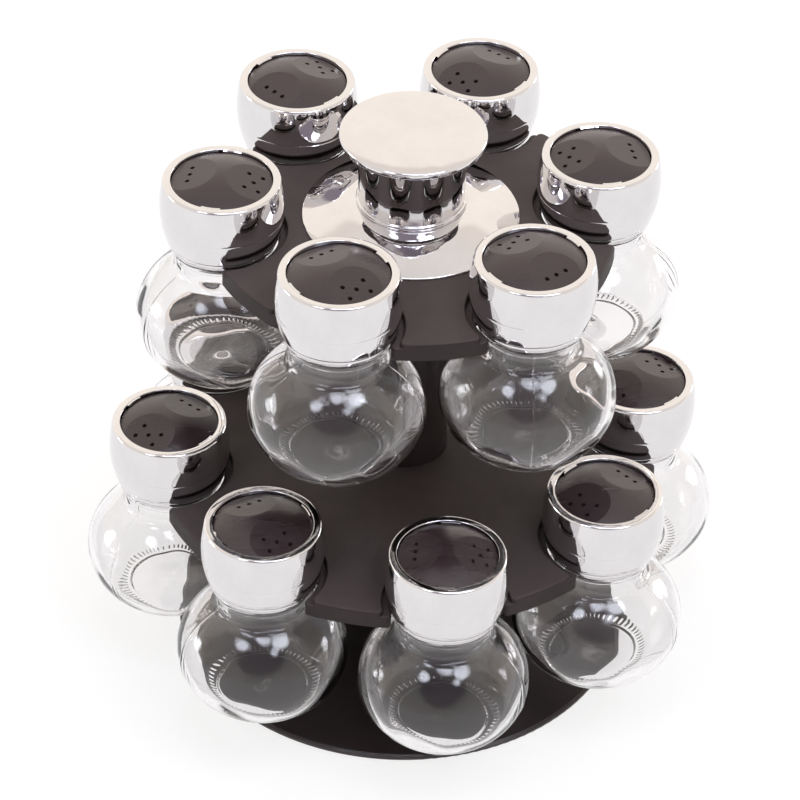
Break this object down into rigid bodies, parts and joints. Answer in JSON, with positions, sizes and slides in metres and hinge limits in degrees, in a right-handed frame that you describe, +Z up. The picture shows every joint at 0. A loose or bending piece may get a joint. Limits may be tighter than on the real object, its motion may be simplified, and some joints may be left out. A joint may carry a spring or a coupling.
{
  "type": "spice carousel",
  "caption": "Tiered revolving spice carousel: round glass jars with bright shaker caps hang in the notches of dark plates on a central column, topped by a mushroom knob.",
  "frame": {"origin": "on the turning axis, on the surface that the feet stand on", "axes": "+Z up along the turning axis; +X through the first jar of the upper plate"},
  "size_m": [0.2516, 0.2516, 0.238],
  "materials": {
    "black_plastic": "fine satin grain",
    "dial_plastic": "smooth semi-gloss",
    "chrome": "bright plated",
    "clear_glass": "clear pressed glass",
    "rubber": "matt",
    "bush_plastic": "smooth natural acetal",
    "steel": "turned",
    "brass": "turned"
  },
  "bodies": {
    "base": {"base": "black_plastic", "base_feet": "rubber", "pivot_bush": "bush_plastic"},
    "carousel": {"centre_rod": "steel", "rod_washer": "steel", "lock_nut": "steel", "lower_column": "black_plastic", "lower_tier": "black_plastic", "upper_column": "black_plastic", "upper_tier": "black_plastic", "dish": "chrome", "knob": "chrome", "knob_insert": "brass"},
    "lower_jar_1": {"lower_jar_1_glass": "clear_glass"},
    "lower_cap_1": {"lower_jar_1_cap": "chrome"},
    "lower_dial_1": {"lower_jar_1_dial": "dial_plastic"},
    "lower_jar_2": {"lower_jar_2_glass": "clear_glass"},
    "lower_cap_2": {"lower_jar_2_cap": "chrome"},
    "lower_dial_2": {"lower_jar_2_dial": "dial_plastic"},
    "lower_jar_3": {"lower_jar_3_glass": "clear_glass"},
    "lower_cap_3": {"lower_jar_3_cap": "chrome"},
    "lower_dial_3": {"lower_jar_3_dial": "dial_plastic"},
    "lower_jar_4": {"lower_jar_4_glass": "clear_glass"},
    "lower_cap_4": {"lower_jar_4_cap": "chrome"},
    "lower_dial_4": {"lower_jar_4_dial": "dial_plastic"},
    "lower_jar_5": {"lower_jar_5_glass": "clear_glass"},
    "lower_cap_5": {"lower_jar_5_cap": "chrome"},
    "lower_dial_5": {"lower_jar_5_dial": "dial_plastic"},
    "lower_jar_6": {"lower_jar_6_glass": "clear_glass"},
    "lower_cap_6": {"lower_jar_6_cap": "chrome"},
    "lower_dial_6": {"lower_jar_6_dial": "dial_plastic"},
    "lower_jar_7": {"lower_jar_7_glass": "clear_glass"},
    "lower_cap_7": {"lower_jar_7_cap": "chrome"},
    "lower_dial_7": {"lower_jar_7_dial": "dial_plastic"},
    "lower_jar_8": {"lower_jar_8_glass": "clear_glass"},
    "lower_cap_8": {"lower_jar_8_cap": "chrome"},
    "lower_dial_8": {"lower_jar_8_dial": "dial_plastic"},
    "upper_jar_1": {"upper_jar_1_glass": "clear_glass"},
    "upper_cap_1": {"upper_jar_1_cap": "chrome"},
    "upper_dial_1": {"upper_jar_1_dial": "dial_plastic"},
    "upper_jar_2": {"upper_jar_2_glass": "clear_glass"},
    "upper_cap_2": {"upper_jar_2_cap": "chrome"},
    "upper_dial_2": {"upper_jar_2_dial": "dial_plastic"},
    "upper_jar_3": {"upper_jar_3_glass": "clear_glass"},
    "upper_cap_3": {"upper_jar_3_cap": "chrome"},
    "upper_dial_3": {"upper_jar_3_dial": "dial_plastic"},
    "upper_jar_4": {"upper_jar_4_glass": "clear_glass"},
    "upper_cap_4": {"upper_jar_4_cap": "chrome"},
    "upper_dial_4": {"upper_jar_4_dial": "dial_plastic"},
    "upper_jar_5": {"upper_jar_5_glass": "clear_glass"},
    "upper_cap_5": {"upper_jar_5_cap": "chrome"},
    "upper_dial_5": {"upper_jar_5_dial": "dial_plastic"},
    "upper_jar_6": {"upper_jar_6_glass": "clear_glass"},
    "upper_cap_6": {"upper_jar_6_cap": "chrome"},
    "upper_dial_6": {"upper_jar_6_dial": "dial_plastic"}
  },
  "joints": [
    {"name": "carousel_turn", "type": "hinge", "parent": "base", "child": "carousel", "pos_m": [0, 0, 0.013], "axis": [0, 0, 1], "continuous": true},
    {"name": "lower_jar_1_out", "type": "slide", "parent": "carousel", "child": "lower_jar_1", "axis": [0.906, 0.0253, 0.4226], "range_m": [0, 0.07]},
    {"name": "lower_cap_1_lift", "type": "slide", "parent": "lower_jar_1", "child": "lower_cap_1", "axis": [0, 0, 1], "range_m": [0, 0.0215]},
    {"name": "lower_dial_1_turn", "type": "hinge", "parent": "lower_cap_1", "child": "lower_dial_1", "pos_m": [0.09276, 0.00259, 0.11], "axis": [0, 0, 1], "range_deg": [-90, 90]},
    {"name": "lower_jar_2_out", "type": "slide", "parent": "carousel", "child": "lower_jar_2", "axis": [0.6227, 0.6585, 0.4226], "range_m": [0, 0.07]},
    {"name": "lower_cap_2_lift", "type": "slide", "parent": "lower_jar_2", "child": "lower_cap_2", "axis": [0, 0, 1], "range_m": [0, 0.0215]},
    {"name": "lower_dial_2_turn", "type": "hinge", "parent": "lower_cap_2", "child": "lower_dial_2", "pos_m": [0.06376, 0.06743, 0.11], "axis": [0, 0, 1], "range_deg": [-90, 90]},
    {"name": "lower_jar_3_out", "type": "slide", "parent": "carousel", "child": "lower_jar_3", "axis": [-0.0253, 0.906, 0.4226], "range_m": [0, 0.07]},
    {"name": "lower_cap_3_lift", "type": "slide", "parent": "lower_jar_3", "child": "lower_cap_3", "axis": [0, 0, 1], "range_m": [0, 0.0215]},
    {"name": "lower_dial_3_turn", "type": "hinge", "parent": "lower_cap_3", "child": "lower_dial_3", "pos_m": [-0.00259, 0.09276, 0.11], "axis": [0, 0, 1], "range_deg": [-90, 90]},
    {"name": "lower_jar_4_out", "type": "slide", "parent": "carousel", "child": "lower_jar_4", "axis": [-0.6585, 0.6227, 0.4226], "range_m": [0, 0.07]},
    {"name": "lower_cap_4_lift", "type": "slide", "parent": "lower_jar_4", "child": "lower_cap_4", "axis": [0, 0, 1], "range_m": [0, 0.0215]},
    {"name": "lower_dial_4_turn", "type": "hinge", "parent": "lower_cap_4", "child": "lower_dial_4", "pos_m": [-0.06743, 0.06376, 0.11], "axis": [0, 0, 1], "range_deg": [-90, 90]},
    {"name": "lower_jar_5_out", "type": "slide", "parent": "carousel", "child": "lower_jar_5", "axis": [-0.906, -0.0253, 0.4226], "range_m": [0, 0.07]},
    {"name": "lower_cap_5_lift", "type": "slide", "parent": "lower_jar_5", "child": "lower_cap_5", "axis": [0, 0, 1], "range_m": [0, 0.0215]},
    {"name": "lower_dial_5_turn", "type": "hinge", "parent": "lower_cap_5", "child": "lower_dial_5", "pos_m": [-0.09276, -0.00259, 0.11], "axis": [0, 0, 1], "range_deg": [-90, 90]},
    {"name": "lower_jar_6_out", "type": "slide", "parent": "carousel", "child": "lower_jar_6", "axis": [-0.6227, -0.6585, 0.4226], "range_m": [0, 0.07]},
    {"name": "lower_cap_6_lift", "type": "slide", "parent": "lower_jar_6", "child": "lower_cap_6", "axis": [0, 0, 1], "range_m": [0, 0.0215]},
    {"name": "lower_dial_6_turn", "type": "hinge", "parent": "lower_cap_6", "child": "lower_dial_6", "pos_m": [-0.06376, -0.06743, 0.11], "axis": [0, 0, 1], "range_deg": [-90, 90]},
    {"name": "lower_jar_7_out", "type": "slide", "parent": "carousel", "child": "lower_jar_7", "axis": [0.0253, -0.906, 0.4226], "range_m": [0, 0.07]},
    {"name": "lower_cap_7_lift", "type": "slide", "parent": "lower_jar_7", "child": "lower_cap_7", "axis": [0, 0, 1], "range_m": [0, 0.0215]},
    {"name": "lower_dial_7_turn", "type": "hinge", "parent": "lower_cap_7", "child": "lower_dial_7", "pos_m": [0.00259, -0.09276, 0.11], "axis": [0, 0, 1], "range_deg": [-90, 90]},
    {"name": "lower_jar_8_out", "type": "slide", "parent": "carousel", "child": "lower_jar_8", "axis": [0.6585, -0.6227, 0.4226], "range_m": [0, 0.07]},
    {"name": "lower_cap_8_lift", "type": "slide", "parent": "lower_jar_8", "child": "lower_cap_8", "axis": [0, 0, 1], "range_m": [0, 0.0215]},
    {"name": "lower_dial_8_turn", "type": "hinge", "parent": "lower_cap_8", "child": "lower_dial_8", "pos_m": [0.06743, -0.06376, 0.11], "axis": [0, 0, 1], "range_deg": [-90, 90]},
    {"name": "upper_jar_1_out", "type": "slide", "parent": "carousel", "child": "upper_jar_1", "axis": [0.9063, 0, 0.4226], "range_m": [0, 0.07]},
    {"name": "upper_cap_1_lift", "type": "slide", "parent": "upper_jar_1", "child": "upper_cap_1", "axis": [0, 0, 1], "range_m": [0, 0.0215]},
    {"name": "upper_dial_1_turn", "type": "hinge", "parent": "upper_cap_1", "child": "upper_dial_1", "pos_m": [0.0713, 0, 0.221], "axis": [0, 0, 1], "range_deg": [-90, 90]},
    {"name": "upper_jar_2_out", "type": "slide", "parent": "carousel", "child": "upper_jar_2", "axis": [0.4532, 0.7849, 0.4226], "range_m": [0, 0.07]},
    {"name": "upper_cap_2_lift", "type": "slide", "parent": "upper_jar_2", "child": "upper_cap_2", "axis": [0, 0, 1], "range_m": [0, 0.0215]},
    {"name": "upper_dial_2_turn", "type": "hinge", "parent": "upper_cap_2", "child": "upper_dial_2", "pos_m": [0.03565, 0.06175, 0.221], "axis": [0, 0, 1], "range_deg": [-90, 90]},
    {"name": "upper_jar_3_out", "type": "slide", "parent": "carousel", "child": "upper_jar_3", "axis": [-0.4532, 0.7849, 0.4226], "range_m": [0, 0.07]},
    {"name": "upper_cap_3_lift", "type": "slide", "parent": "upper_jar_3", "child": "upper_cap_3", "axis": [0, 0, 1], "range_m": [0, 0.0215]},
    {"name": "upper_dial_3_turn", "type": "hinge", "parent": "upper_cap_3", "child": "upper_dial_3", "pos_m": [-0.03565, 0.06175, 0.221], "axis": [0, 0, 1], "range_deg": [-90, 90]},
    {"name": "upper_jar_4_out", "type": "slide", "parent": "carousel", "child": "upper_jar_4", "axis": [-0.9063, 0, 0.4226], "range_m": [0, 0.07]},
    {"name": "upper_cap_4_lift", "type": "slide", "parent": "upper_jar_4", "child": "upper_cap_4", "axis": [0, 0, 1], "range_m": [0, 0.0215]},
    {"name": "upper_dial_4_turn", "type": "hinge", "parent": "upper_cap_4", "child": "upper_dial_4", "pos_m": [-0.0713, 0, 0.221], "axis": [0, 0, 1], "range_deg": [-90, 90]},
    {"name": "upper_jar_5_out", "type": "slide", "parent": "carousel", "child": "upper_jar_5", "axis": [-0.4532, -0.7849, 0.4226], "range_m": [0, 0.07]},
    {"name": "upper_cap_5_lift", "type": "slide", "parent": "upper_jar_5", "child": "upper_cap_5", "axis": [0, 0, 1], "range_m": [0, 0.0215]},
    {"name": "upper_dial_5_turn", "type": "hinge", "parent": "upper_cap_5", "child": "upper_dial_5", "pos_m": [-0.03565, -0.06175, 0.221], "axis": [0, 0, 1], "range_deg": [-90, 90]},
    {"name": "upper_jar_6_out", "type": "slide", "parent": "carousel", "child": "upper_jar_6", "axis": [0.4532, -0.7849, 0.4226], "range_m": [0, 0.07]},
    {"name": "upper_cap_6_lift", "type": "slide", "parent": "upper_jar_6", "child": "upper_cap_6", "axis": [0, 0, 1], "range_m": [0, 0.0215]},
    {"name": "upper_dial_6_turn", "type": "hinge", "parent": "upper_cap_6", "child": "upper_dial_6", "pos_m": [0.03565, -0.06175, 0.221], "axis": [0, 0, 1], "range_deg": [-90, 90]}
  ]
}
